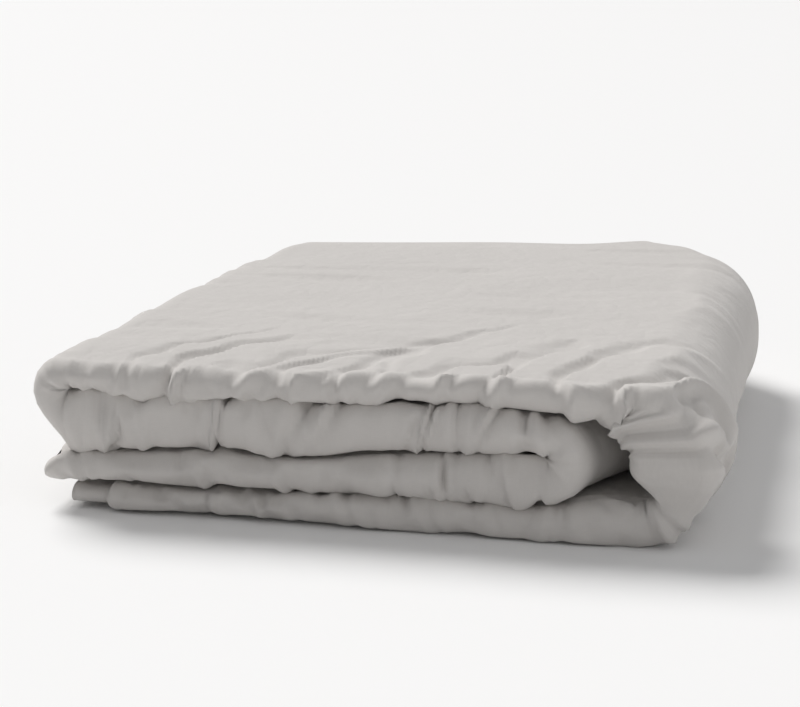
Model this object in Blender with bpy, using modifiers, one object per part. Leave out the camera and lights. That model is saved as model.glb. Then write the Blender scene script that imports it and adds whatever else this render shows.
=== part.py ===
"""A single duvet in a buttoned cotton cover, folded away into a flat stack.

Every piece is first made flat, as it is cut and sewn, in the duvet's own coordinates: u runs along
its length from the foot, v across its width from the middle, and w through its thickness. One
function, fold, then lays the flat pieces into the stack. It folds the duvet in half across its
width, which gives a strip of two thicknesses, and the strip in half and in half again along its
length. The last of these folds opens like a book, so every piece that crosses it is cut there.

Metres, +Z up, +X along the front edge, +Y away from the front. The stack stands on z = 0, with
the origin under its middle.
"""

import math

import bmesh
import bpy
from mathutils import Matrix, Vector

# Driving dimensions.
COVER_LENGTH = 2.00  # foot hem to head seam, laid flat
COVER_WIDTH = 1.50  # side seam to side seam, laid flat
DUVET_THICKNESS = 0.0146  # filled duvet in its cover, as the folded stack presses it
COVER_CLOTH = 0.0004
CASING_CLOTH = 0.0003
HEM_DEPTH = 0.030  # the foot opening's buttoned hem
HEM_CLOTH = 0.0012  # three turns of cover cloth
INSERT_MARGIN = 0.016  # the insert is this much short of the cover at every edge
CASING_SEAM = 0.0025  # the batting is this much short of the casing at every edge
PIPING_RADIUS = 0.0015

GAP = 0.0003  # between pieces that touch
FOLD_GAP = 0.0010  # air between two faces of the duvet that lie on each other

FOOT_INSET = 0.062  # from the stack's left side to the foot end of the bottom layer
HEAD_INSET = 0.008  # the same for the head end, in the layer above it
INNER_FOLD_INSET = 0.012  # the tucked fold stops this much short of the outer fold

BUTTON_RADIUS = 0.0057
BUTTON_THICKNESS = 0.0025
BUTTON_HOLE_RADIUS = 0.0007
BUTTON_HOLE_CIRCLE = 0.0016
BUTTONS_PER_SIDE = 3
BUTTONHOLE_LENGTH = 0.0130
BUTTONHOLE_WIDTH = 0.0028
SHANK_RADIUS = 0.0009

LOOP_RADIUS = 0.0035
LOOP_TAPE_RADIUS = 0.0007
TIE_RADIUS = 0.0035
TIE_TAPE_RADIUS = 0.0006
LINK_DEPTH = 0.65  # how far the tie reaches into the loop's hole, as a share of the hole's radius
LABEL_LENGTH = 0.040
LABEL_DEPTH = 0.007
LABEL_CLOTH = 0.0004

PIPING_CUT = 0.0008  # piping stops this much short of the cut at the book fold

# Steps of the meshes around each bend.
RIM_STEPS = 2
HALF_FOLD_STEPS = 6
OUTER_FOLD_STEPS = 6  # in each half of it
LEFT_FOLD_STEPS = 6
INNER_FOLD_STEPS = 3  # in each half of it
RING_STEPS = 12

# Half thicknesses, from the cover's outside inwards.
COVER_OUT = DUVET_THICKNESS / 2
COVER_IN = COVER_OUT - COVER_CLOTH
CASING_OUT = COVER_IN - GAP
CASING_IN = CASING_OUT - CASING_CLOTH
BATTING_OUT = CASING_IN - GAP
PANEL_PART = GAP / 2  # from the middle surface to the rim of a face or a reverse panel
PIPING_OUT = CASING_OUT + GAP + PIPING_RADIUS - INSERT_MARGIN  # beyond the cover's flat part
HEM_U = -COVER_OUT - GAP - HEM_DEPTH / 2  # the middle of the foot hem

# Folding in half across the width.
HALF_FOLD_RADIUS = (DUVET_THICKNESS + FOLD_GAP) / 2  # of the middle surface
STRIP = 2 * DUVET_THICKNESS + FOLD_GAP  # thickness of the folded strip
FLAT_V = COVER_WIDTH / 2 - math.pi / 2 * COVER_OUT  # where the rounded side edge starts
HALF_FOLD_V = math.pi / 2 * HALF_FOLD_RADIUS
STACK_DEPTH = STRIP / 2 + FLAT_V + COVER_OUT - HALF_FOLD_V

# Folding the strip along the length.
LAYER_PITCH = STRIP + FOLD_GAP
STACK_HEIGHT = 4 * STRIP + 3 * FOLD_GAP + GAP
FLAT_U = COVER_LENGTH - HEM_DEPTH - math.pi * COVER_OUT  # between the two rounded ends
OUTER_RADIUS = 1.5 * LAYER_PITCH  # of the strip's middle
INNER_RADIUS = LAYER_PITCH / 2

# The flat length is shared out over four straight runs and three bends. Each run starts and ends
# a known distance inside the stack's left or right side, which leaves the width as the unknown.
STACK_WIDTH = (
    FLAT_U
    - math.pi * (OUTER_RADIUS + 2 * INNER_RADIUS)
    + 4 * (OUTER_RADIUS + STRIP / 2)
    + 2 * (INNER_RADIUS + STRIP / 2)
    + 2 * INNER_FOLD_INSET
    + (FOOT_INSET + COVER_OUT)
    + (HEAD_INSET + COVER_OUT)
) / 4

FRONT = -STACK_DEPTH / 2
LEFT = -STACK_WIDTH / 2
RIGHT = STACK_WIDTH / 2
FOOT_X = LEFT + FOOT_INSET + COVER_OUT
HEAD_X = LEFT + HEAD_INSET + COVER_OUT
LEFT_FOLD_X = LEFT + STRIP / 2 + INNER_RADIUS
OUTER_FOLD_X = RIGHT - STRIP / 2 - OUTER_RADIUS
INNER_FOLD_X = OUTER_FOLD_X - INNER_FOLD_INSET
HINGE_X = RIGHT + GAP

# Lengths along the strip at which one run ends and the next starts.
U_OUTER = OUTER_FOLD_X - FOOT_X
U_OUTER_MIDDLE = U_OUTER + math.pi / 2 * OUTER_RADIUS
U_TOP = U_OUTER_MIDDLE + math.pi / 2 * OUTER_RADIUS
U_LEFT = U_TOP + OUTER_FOLD_X - LEFT_FOLD_X
U_SECOND = U_LEFT + math.pi * INNER_RADIUS
U_INNER = U_SECOND + INNER_FOLD_X - LEFT_FOLD_X
U_INNER_MIDDLE = U_INNER + math.pi / 2 * INNER_RADIUS
U_TUCKED = U_INNER_MIDDLE + math.pi / 2 * INNER_RADIUS

COTTON = ("cover_cotton", (0.57, 0.55, 0.53), 0.85)
CASING = ("casing_cotton", (0.88, 0.87, 0.84), 0.85)
FIBRE = ("hollow_fibre", (0.93, 0.93, 0.92), 1.0)
TAPE = ("cotton_tape", (0.84, 0.83, 0.80), 0.9)
PLASTIC = ("button_plastic", (0.80, 0.78, 0.75), 0.35)
THREAD = ("sewing_thread", (0.62, 0.60, 0.58), 0.8)
LABEL = ("label_satin", (0.92, 0.92, 0.90), 0.5)


def clear_scene():
    for obj in list(bpy.data.objects):
        bpy.data.objects.remove(obj, do_unlink=True)


def new_collection(name, hidden=False):
    collection = bpy.data.collections.new(name)
    collection.hide_render = hidden
    bpy.context.scene.collection.children.link(collection)
    return collection


def material_of(finish):
    name, colour, roughness = finish
    material = bpy.data.materials.new(name)
    material.use_nodes = True
    shader = material.node_tree.nodes["Principled BSDF"]
    shader.inputs["Base Color"].default_value = (*colour, 1.0)
    shader.inputs["Roughness"].default_value = roughness
    shader.inputs["Metallic"].default_value = 0.0
    return material


def half_fold(v, w):
    """Depth and height in the strip of a point v across the width and w off the middle surface."""
    centre = FRONT + STRIP / 2
    reach = HALF_FOLD_RADIUS + w
    if abs(v) < HALF_FOLD_V:
        angle = v / HALF_FOLD_RADIUS
        return centre - reach * math.cos(angle), reach * math.sin(angle)
    side = math.copysign(1.0, v)
    return centre + abs(v) - HALF_FOLD_V, reach * side


def stack_fold(u, rise):
    """Place in the stack of a point u along the strip and rise above the strip's middle."""
    middle = 2 * STRIP + 1.5 * FOLD_GAP
    if u < U_OUTER:
        return FOOT_X + u, STRIP / 2 + rise
    if u < U_TOP:
        angle = (u - U_OUTER) / OUTER_RADIUS
        reach = OUTER_RADIUS - rise
        return OUTER_FOLD_X + reach * math.sin(angle), middle - reach * math.cos(angle)
    if u < U_LEFT:
        return OUTER_FOLD_X - (u - U_TOP), middle + OUTER_RADIUS - rise
    if u < U_SECOND:
        angle = (u - U_LEFT) / INNER_RADIUS
        reach = INNER_RADIUS - rise
        centre = middle + LAYER_PITCH
        return LEFT_FOLD_X - reach * math.sin(angle), centre + reach * math.cos(angle)
    if u < U_INNER:
        return LEFT_FOLD_X + u - U_SECOND, middle + INNER_RADIUS + rise
    if u < U_TUCKED:
        angle = (u - U_INNER) / INNER_RADIUS
        reach = INNER_RADIUS + rise
        return INNER_FOLD_X + reach * math.sin(angle), middle + reach * math.cos(angle)
    return INNER_FOLD_X - (u - U_TUCKED), middle - INNER_RADIUS - rise


def bend_lines(start, end, steps):
    return [start + (end - start) * step / steps for step in range(1, steps + 1)]


def rim_lines():
    """Angles round a rounded edge, from its seam to where the panel lies flat."""
    return [math.pi / 2 * (1 - step / RIM_STEPS) for step in range(RIM_STEPS + 1)]


# A line across a piece is where its flat part ends and the angle round the edge beyond it.
def foot_lines(margin):
    return [(margin, -angle) for angle in rim_lines()]


def head_lines(margin):
    return [(FLAT_U - margin, angle) for angle in reversed(rim_lines())]


def flat_lines(places):
    return [(place, 0.0) for place in places]


def side_lines(margin):
    """Lines along the strip, from one side seam round the half fold to the other."""
    half = flat_lines(bend_lines(0.0, HALF_FOLD_V, HALF_FOLD_STEPS // 2))
    half += [(FLAT_V - margin, angle) for angle in reversed(rim_lines())]
    return [(-v, -angle) for v, angle in reversed(half)] + [(0.0, 0.0)] + half


def outer_fold_low():
    return [U_OUTER] + bend_lines(U_OUTER, U_OUTER_MIDDLE, OUTER_FOLD_STEPS)


def outer_fold_high():
    return [U_OUTER_MIDDLE] + bend_lines(U_OUTER_MIDDLE, U_TOP, OUTER_FOLD_STEPS)


def left_fold():
    return [U_LEFT] + bend_lines(U_LEFT, U_SECOND, LEFT_FOLD_STEPS)


def inner_fold_high():
    return [U_INNER] + bend_lines(U_INNER, U_INNER_MIDDLE, INNER_FOLD_STEPS)


def inner_fold_low():
    return [U_INNER_MIDDLE] + bend_lines(U_INNER_MIDDLE, U_TUCKED, INNER_FOLD_STEPS)


def stretch_lines(stretch, margin):
    """Lines along the width of one of the three stretches that the book fold's cut leaves."""
    if stretch == "bottom":
        return foot_lines(margin) + flat_lines(outer_fold_low())
    if stretch == "top":
        return flat_lines(outer_fold_high() + left_fold() + inner_fold_high())
    return flat_lines(inner_fold_low()) + head_lines(margin)


def new_object(name, mesh, finish, collection):
    obj = bpy.data.objects.new(name, mesh)
    obj.data.materials.append(material_of(finish))
    collection.objects.link(obj)
    return obj


def finished_mesh(name, form):
    mesh = bpy.data.meshes.new(name)
    form.to_mesh(mesh)
    form.free()
    return mesh


def slab(name, finish, lines, sides, place):
    """A grid of lines by sides with two surfaces, bent by place(line, side, surface)."""
    columns, rows = len(lines) - 1, len(sides) - 1
    form = bmesh.new()
    bmesh.ops.create_grid(form, x_segments=columns, y_segments=rows, size=0.5)
    second = bmesh.ops.extrude_face_region(form, geom=form.faces[:])["geom"]
    for vertex in second:
        if isinstance(vertex, bmesh.types.BMVert):
            vertex.co.z = 1.0
    for vertex in form.verts:
        column = round((vertex.co.x + 0.5) * columns)
        row = round((vertex.co.y + 0.5) * rows)
        vertex.co = place(lines[column], sides[row], round(vertex.co.z))
    bmesh.ops.recalc_face_normals(form, faces=form.faces[:])
    if form.calc_volume(signed=True) < 0:
        bmesh.ops.reverse_faces(form, faces=form.faces[:])
    mesh = finished_mesh(name, form)
    mesh.shade_smooth()
    mesh.set_sharp_from_angle(angle=math.radians(40))
    return new_object(name, mesh, finish, DUVET)


def folded(u, v, w, stretch):
    """A flat point in its place in the stack. What lies above the book fold's cut clears it."""
    y, rise = half_fold(v, w)
    x, z = stack_fold(u, rise)
    lift = GAP if stretch == "top" else 0.0
    return Vector((x, y, z + lift))


def layer(name, finish, stretch, margin, surfaces):
    """One stretch of a layer of the duvet between two surfaces, each (half thickness, part)."""

    def place(line, side, surface):
        half, part = surfaces[surface]
        u, end_angle = line
        v, side_angle = side
        reach = abs(half)
        crown = (reach - part) * math.cos(end_angle) * math.cos(side_angle)
        w = math.copysign(part + crown, half)
        u += reach * math.sin(end_angle)
        v += reach * math.sin(side_angle)
        return folded(u, v, w, stretch)

    return slab(name, finish, stretch_lines(stretch, margin), side_lines(margin), place)


def make_layers(stretch):
    """The cover's two panels, the insert casing's two panels and the batting inside them."""
    made = []
    for panel, side in (("face", 1), ("reverse", -1)):
        cover = ((side * COVER_IN, PANEL_PART), (side * COVER_OUT, PANEL_PART))
        casing = ((side * CASING_IN, PANEL_PART), (side * CASING_OUT, PANEL_PART))
        made.append(layer(f"cover_{panel}_{stretch}", COTTON, stretch, 0.0, cover))
        made.append(layer(f"casing_{panel}_{stretch}", CASING, stretch, INSERT_MARGIN, casing))
    batting = ((-BATTING_OUT, GAP), (BATTING_OUT, GAP))
    batting_margin = INSERT_MARGIN + CASING_SEAM
    made.append(layer(f"batting_{stretch}", FIBRE, stretch, batting_margin, batting))
    return made


def make_piping(name, stretch, route):
    """Piping along the insert's seam, through the points of a flat route."""
    curve = bpy.data.curves.new(name, "CURVE")
    curve.dimensions = "3D"
    curve.bevel_depth = PIPING_RADIUS
    curve.bevel_resolution = 2
    curve.use_fill_caps = True
    spline = curve.splines.new("POLY")
    spline.points.add(len(route) - 1)
    for point, (u, v) in zip(spline.points, route):
        point.co = (*folded(u, v, 0.0, stretch), 1.0)
    return new_object(name, curve, TAPE, DUVET)


def make_piping_u(name, stretch, end, along):
    """Piping down one side of the insert, round its end and back up the other side."""
    side = FLAT_V + PIPING_OUT
    across = bend_lines(0.0, HALF_FOLD_V, HALF_FOLD_STEPS // 2)
    across = [-v for v in reversed(across)] + [0.0] + across
    route = [(u, -side) for u in along]
    route += [(end, v) for v in [-side] + across + [side]]
    route += [(u, side) for u in reversed(along)]
    return make_piping(name, stretch, route)


def make_all_piping():
    """Piping on the insert, cut where the book fold opens."""
    side = FLAT_V + PIPING_OUT
    low = outer_fold_low()
    low[-1] -= PIPING_CUT
    high = outer_fold_high() + left_fold() + inner_fold_high()
    high[0] += PIPING_CUT
    high[-1] -= PIPING_CUT
    tucked = inner_fold_low()
    tucked[0] += PIPING_CUT
    make_piping_u("insert_piping_bottom", "bottom", -PIPING_OUT, low[::-1])
    make_piping_u("insert_piping_tucked", "tucked", FLAT_U + PIPING_OUT, tucked)
    outer = make_piping("insert_piping_top_outer", "top", [(u, -side) for u in high])
    inner = make_piping("insert_piping_top_inner", "top", [(u, side) for u in high])
    return [outer, inner]


def make_hem(name, side):
    """One side of the foot opening: a strip of turned cloth across the whole width."""
    edge = FLAT_V + COVER_OUT
    across = bend_lines(0.0, HALF_FOLD_V, HALF_FOLD_STEPS // 2) + [edge]
    across = [-v for v in reversed(across)] + [0.0] + across
    ends = [HEM_U - HEM_DEPTH / 2, HEM_U + HEM_DEPTH / 2]

    def place(u, v, surface):
        return folded(u, v, side * (PANEL_PART + surface * HEM_CLOTH), "bottom")

    return slab(name, COTTON, ends, across, place)


def stand_in_stack(obj, u, v, w, stretch):
    """Puts a small piece, modelled with +X along u and +Z along w, at its place in the stack."""
    obj.location = folded(u, v, w, stretch)
    turn = Matrix.Identity(3)
    if v < 0:
        turn = Matrix.Rotation(math.pi, 3, "X")
    if stretch == "tucked":
        turn = Matrix.Rotation(math.pi, 3, "Y") @ turn
    obj.rotation_euler = turn.to_euler()


def add_cylinder(form, radius, length, sides, centre=(0.0, 0.0, 0.0)):
    bmesh.ops.create_cone(
        form,
        cap_ends=True,
        segments=sides,
        radius1=radius,
        radius2=radius,
        depth=length,
        matrix=Matrix.Translation(centre),
    )


def cylinder_mesh(name, radius, length, sides):
    form = bmesh.new()
    add_cylinder(form, radius, length, sides)
    return finished_mesh(name, form)


def box_mesh(name, length, width, height):
    form = bmesh.new()
    bmesh.ops.create_cube(form, size=1.0)
    bmesh.ops.scale(form, vec=(length, width, height), verts=form.verts[:])
    return finished_mesh(name, form)


def new_cutter(name, mesh):
    cutter = bpy.data.objects.new(name, mesh)
    cutter.hide_render = True
    cutter.display_type = "WIRE"
    CUTTERS.objects.link(cutter)
    return cutter


def cut_with(obj, cutter):
    cut = obj.modifiers.new(cutter.name, "BOOLEAN")
    cut.operation = "DIFFERENCE"
    cut.solver = "EXACT"
    cut.object = cutter


def thread_holes():
    """The four thread holes through a button, as one cutter."""
    form = bmesh.new()
    for quarter in range(4):
        angle = math.pi / 4 + quarter * math.pi / 2
        centre = BUTTON_HOLE_CIRCLE * Vector((math.cos(angle), math.sin(angle), 0.0))
        add_cylinder(form, BUTTON_HOLE_RADIUS, 3 * BUTTON_THICKNESS, 6, centre)
    return finished_mesh("thread_holes", form)


def make_closure():
    """Buttons sewn inside the face hem, through buttonholes in the reverse hem."""
    make_hem("foot_hem_face", 1.0)
    reverse = make_hem("foot_hem_reverse", -1.0)
    button_mesh = cylinder_mesh("button", BUTTON_RADIUS, BUTTON_THICKNESS, 20)
    shank_mesh = cylinder_mesh("button_shank", SHANK_RADIUS, HEM_CLOTH, 10)
    slot_mesh = box_mesh("buttonhole", BUTTONHOLE_LENGTH, BUTTONHOLE_WIDTH, 3 * HEM_CLOTH)
    holes_mesh = thread_holes()
    cloth = -PANEL_PART - HEM_CLOTH / 2
    under = -PANEL_PART - HEM_CLOTH - GAP - BUTTON_THICKNESS / 2
    number = 0
    for side in (-1, 1):
        for step in range(BUTTONS_PER_SIDE):
            number += 1
            v = side * FLAT_V * (step + 0.5) / BUTTONS_PER_SIDE
            button = new_object(f"button_{number}", button_mesh.copy(), PLASTIC, DUVET)
            stand_in_stack(button, HEM_U, v, under, "bottom")
            holes = new_cutter(f"button_{number}_holes", holes_mesh)
            stand_in_stack(holes, HEM_U, v, under, "bottom")
            cut_with(button, holes)
            rim = button.modifiers.new("rounded_rim", "BEVEL")
            rim.width = BUTTON_THICKNESS / 5
            rim.segments = 1
            rim.limit_method = "ANGLE"
            button.modifiers.move(1, 0)  # the rim is rounded before the holes are cut
            slot = new_cutter(f"buttonhole_{number}", slot_mesh)
            stand_in_stack(slot, HEM_U, v, cloth, "bottom")
            cut_with(reverse, slot)
            shank = new_object(f"button_{number}_shank", shank_mesh.copy(), THREAD, DUVET)
            stand_in_stack(shank, HEM_U, v, cloth, "bottom")


def ring(name, finish, radius, tape, upright):
    """A closed ring of tape, lying flat or standing upright along the width."""
    curve = bpy.data.curves.new(name, "CURVE")
    curve.dimensions = "3D"
    curve.bevel_depth = tape
    curve.bevel_resolution = 1
    spline = curve.splines.new("POLY")
    spline.points.add(RING_STEPS - 1)
    spline.use_cyclic_u = True
    for step, point in enumerate(spline.points):
        angle = 2 * math.pi * step / RING_STEPS
        along, beside = radius * math.cos(angle), radius * math.sin(angle)
        point.co = (0.0, along, beside, 1.0) if upright else (along, beside, 0.0, 1.0)
    return new_object(name, curve, finish, DUVET)


def make_corner(end, side):
    """The insert's corner loop and the cover's tie through it, in the slack along one end."""
    stretch = "bottom" if end == "foot" else "tucked"
    leg = "outer" if side < 0 else "inner"
    out = PIPING_OUT + PIPING_RADIUS + GAP + LOOP_TAPE_RADIUS + LOOP_RADIUS
    u = -out if end == "foot" else FLAT_U + out
    loop_v = FLAT_V - 2 * LOOP_RADIUS
    tie_v = loop_v - TIE_RADIUS - LOOP_RADIUS + LINK_DEPTH * (LOOP_RADIUS - LOOP_TAPE_RADIUS)
    loop = ring(f"{end}_loop_{leg}", TAPE, LOOP_RADIUS, LOOP_TAPE_RADIUS, False)
    stand_in_stack(loop, u, side * loop_v, 0.0, stretch)
    tie = ring(f"{end}_tie_{leg}", TAPE, TIE_RADIUS, TIE_TAPE_RADIUS, True)
    stand_in_stack(tie, u, side * tie_v, 0.0, stretch)


def make_label():
    """A blank care label in the cover's side seam, near the foot."""
    mesh = box_mesh("care_label", LABEL_LENGTH, LABEL_DEPTH, LABEL_CLOTH)
    label = new_object("care_label", mesh, LABEL, DUVET)
    v = FLAT_V + COVER_IN - GAP - LABEL_CLOTH - LABEL_DEPTH / 2
    stand_in_stack(label, 2 * LABEL_LENGTH, v, 0.0, "bottom")


def hang_on_book_fold(pieces):
    """The upper half turns about the book fold, outside the stack's right side."""
    hinge = bpy.data.objects.new("book_fold", None)
    hinge.location = (HINGE_X, 0.0, STACK_HEIGHT / 2)
    hinge.rotation_euler = (math.radians(-90), 0.0, 0.0)
    DUVET.objects.link(hinge)
    bpy.context.view_layer.update()
    for piece in pieces:
        piece.parent = hinge
        piece.matrix_parent_inverse = hinge.matrix_world.inverted()


clear_scene()
DUVET = new_collection("folded_duvet")
CUTTERS = new_collection("cutters", hidden=True)

make_layers("bottom")
make_layers("tucked")
upper = make_layers("top")
upper += make_all_piping()
make_closure()
for end in ("foot", "head"):
    for side in (-1, 1):
        make_corner(end, side)
make_label()
hang_on_book_fold(upper)
print(f"folded size {STACK_WIDTH:.4f} x {STACK_DEPTH:.4f} x {STACK_HEIGHT:.4f} m")
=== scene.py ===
# %% [markdown]
# # A folded duvet
#
# A single duvet in a plain cotton cover, folded up as it would be put away. The CAD model holds
# its pieces, sizes and the fold that opens like a book. This script makes what the eye sees: a
# full, soft stack whose cloth puckers where it turns, with seams, hem and buttons.
#
# Everything is first laid out flat, the way a duvet is cut: u runs along its length from the foot
# end, v across its width from the middle, and w through its thickness. Two folding formulas then
# carry any flat point into the stack, so every layer lies where the CAD layer lies.

# %% Start from the CAD frame
import math

import bpy
import numpy as np
from mathutils import Matrix, Vector


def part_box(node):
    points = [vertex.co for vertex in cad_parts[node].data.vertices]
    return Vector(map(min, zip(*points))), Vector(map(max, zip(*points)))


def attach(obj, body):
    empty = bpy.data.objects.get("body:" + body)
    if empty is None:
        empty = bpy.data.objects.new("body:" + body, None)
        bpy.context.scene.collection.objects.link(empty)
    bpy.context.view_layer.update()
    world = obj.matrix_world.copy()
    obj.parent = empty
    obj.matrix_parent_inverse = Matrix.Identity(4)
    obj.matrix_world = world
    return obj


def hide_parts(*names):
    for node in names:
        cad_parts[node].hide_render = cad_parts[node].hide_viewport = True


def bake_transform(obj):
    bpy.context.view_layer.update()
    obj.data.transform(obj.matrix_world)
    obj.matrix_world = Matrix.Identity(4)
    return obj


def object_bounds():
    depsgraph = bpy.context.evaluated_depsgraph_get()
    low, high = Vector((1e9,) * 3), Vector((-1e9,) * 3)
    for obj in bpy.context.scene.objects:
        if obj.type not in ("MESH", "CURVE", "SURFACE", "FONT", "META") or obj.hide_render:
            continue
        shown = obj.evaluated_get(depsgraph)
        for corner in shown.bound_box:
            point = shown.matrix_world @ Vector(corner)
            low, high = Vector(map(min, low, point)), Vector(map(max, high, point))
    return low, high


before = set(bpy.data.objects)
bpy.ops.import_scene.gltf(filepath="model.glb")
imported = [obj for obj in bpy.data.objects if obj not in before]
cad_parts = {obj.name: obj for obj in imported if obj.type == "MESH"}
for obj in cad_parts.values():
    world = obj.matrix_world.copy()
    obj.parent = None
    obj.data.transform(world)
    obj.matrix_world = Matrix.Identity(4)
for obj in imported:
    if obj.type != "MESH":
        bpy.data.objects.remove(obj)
cad_box = [list(corner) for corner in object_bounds()]
LOW, HIGH = (np.array(corner) for corner in cad_box)
WIDTH, DEPTH, HEIGHT = HIGH - LOW
MM = 0.001
rng = np.random.default_rng(27)
print(f"stack {WIDTH:.3f} x {DEPTH:.3f} x {HEIGHT:.3f} m")

# %% [markdown]
# ## The folds
#
# The layers' sizes are read back from the CAD solids. The tucked layer is one strip thick, and
# a strip is the duvet folded in half, so it holds two thicknesses of it.

# %% Sizes of the layers
tucked_low, tucked_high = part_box("cover_face_tucked")
bottom_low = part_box("cover_face_bottom")[0]
LAYER_AIR = 1.0 * MM
TOP_LIFT = 0.3 * MM  # the upper half clears the lower one by this much
STRIP = (HEIGHT - TOP_LIFT - 3 * LAYER_AIR) / 4
THICKNESS = (STRIP - LAYER_AIR) / 2
HALF = THICKNESS / 2
PITCH = STRIP + LAYER_AIR
OUTER_RADIUS = 1.5 * PITCH
INNER_RADIUS = PITCH / 2
HALF_FOLD_RADIUS = (THICKNESS + LAYER_AIR) / 2
HALF_FOLD_V = math.pi / 2 * HALF_FOLD_RADIUS
MIDDLE = HEIGHT / 2
FRONT_FOLD_Y = LOW[1] + STRIP / 2
OUTER_X = HIGH[0] - STRIP / 2 - OUTER_RADIUS
LEFT_X = LOW[0] + STRIP / 2 + INNER_RADIUS
INNER_X = tucked_high[0] - STRIP / 2 - INNER_RADIUS
FOOT_X = bottom_low[0] + HALF
HEAD_X = tucked_low[0] + HALF

U_OUTER = OUTER_X - FOOT_X
U_TOP = U_OUTER + math.pi * OUTER_RADIUS
U_LEFT = U_TOP + OUTER_X - LEFT_X
U_SECOND = U_LEFT + math.pi * INNER_RADIUS
U_INNER = U_SECOND + INNER_X - LEFT_X
U_TUCKED = U_INNER + math.pi * INNER_RADIUS
U_HEAD = U_TUCKED + INNER_X - HEAD_X
V_SIDE = HIGH[1] - FRONT_FOLD_Y + HALF_FOLD_V - HALF
print(f"strip {STRIP * 1000:.1f} mm, duvet {THICKNESS * 1000:.1f} mm, length {U_HEAD:.3f} m")


# %% The two folding formulas
def fold_in_half(v, w):
    """Depth and rise in the strip: straight runs either side of a half circle round the middle."""
    reach = HALF_FOLD_RADIUS + w
    angle = np.clip(v, -HALF_FOLD_V, HALF_FOLD_V) / HALF_FOLD_RADIUS
    beyond = np.maximum(np.abs(v) - HALF_FOLD_V, 0.0)
    return FRONT_FOLD_Y - reach * np.cos(angle) + beyond, reach * np.sin(angle)


def fold_in_stack(u, rise):
    """Runs and half circles in turn: bottom, outer fold, top, left fold, second, inner fold, tucked."""
    outer = np.clip((u - U_OUTER) / OUTER_RADIUS, 0, math.pi)
    left = np.clip((u - U_LEFT) / INNER_RADIUS, 0, math.pi)
    inner = np.clip((u - U_INNER) / INNER_RADIUS, 0, math.pi)
    upper = MIDDLE + PITCH
    places = [
        (u < U_OUTER, FOOT_X + u, MIDDLE - OUTER_RADIUS + rise),
        (
            u < U_TOP,
            OUTER_X + (OUTER_RADIUS - rise) * np.sin(outer),
            MIDDLE - (OUTER_RADIUS - rise) * np.cos(outer),
        ),
        (u < U_LEFT, OUTER_X - (u - U_TOP), MIDDLE + OUTER_RADIUS - rise),
        (
            u < U_SECOND,
            LEFT_X - (INNER_RADIUS - rise) * np.sin(left),
            upper + (INNER_RADIUS - rise) * np.cos(left),
        ),
        (u < U_INNER, LEFT_X + (u - U_SECOND), MIDDLE + INNER_RADIUS + rise),
        (
            u < U_TUCKED,
            INNER_X + (INNER_RADIUS + rise) * np.sin(inner),
            MIDDLE + (INNER_RADIUS + rise) * np.cos(inner),
        ),
    ]
    tests = [test for test, _, _ in places]
    x = np.select(tests, [x for _, x, _ in places], INNER_X - (u - U_TUCKED))
    z = np.select(tests, [z for _, _, z in places], MIDDLE - INNER_RADIUS - rise)
    return x, z


# %% [markdown]
# ## How the stack settles
#
# A real stack isn't a set of even slabs. The lowest layer is pressed flat, the two in the middle
# swell at the front, the big fold on the right props the top up, and the folded ends pull in.
# A few formulas bend the even stack to that. They move a whole height of the stack together, so
# each layer keeps its place between its neighbours and none passes through another.

# %% Settling
TOP_AT_CORNERS = ((120 * MM, 117 * MM), (123 * MM, 136 * MM))  # left then right, front then back
FRONT_LEVELS = (0.0, 23 * MM, 56 * MM, 95 * MM)  # undersides of the layers at the front
FRONT_SLOPES = (0.0, 0.012, 0.050, 0.016)
FRONT_REACH = 0.15
FRONT_SAGS = (0.0, -9 * MM, 5 * MM, 15 * MM)  # how far the same undersides drop at the right
LEVEL_WAVE = 1.2 * MM
INNER_FOLD_PULL = 50 * MM
OUTER_FOLD_FULLNESS = 33 * MM
FRONT_DROP, BACK_DROP = 0.035, 0.03  # share of the height lost at the front and back edges
CROWN_REACH = 0.10
FRONT_CORNER_PULL = 6 * MM
CORNER_PULL = 85 * MM
CORNER_REACH = 0.17
LEFT_FOLD_TUCK = 20 * MM


def ease(t):
    """Smooth step from 0 to 1, flat at both ends."""
    t = np.clip(t, 0.0, 1.0)
    return t * t * (3 - 2 * t)


def waves(places, length, seed, count=9):
    """Soft unevenness of about unit size: sine waves of about one length in random directions."""
    picks = np.random.default_rng(seed)
    total = 0.0
    for _ in range(count):
        heading = picks.normal(size=len(places))
        heading *= 2 * math.pi / (length * np.linalg.norm(heading) * picks.uniform(0.7, 1.5))
        phase = picks.uniform(0, 2 * math.pi)
        total = total + np.sin(sum(h * p for h, p in zip(heading, places)) + phase)
    return total * math.sqrt(2 / count)


def near_front(y):
    return ease(1 - (y - LOW[1]) / FRONT_REACH)


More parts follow.
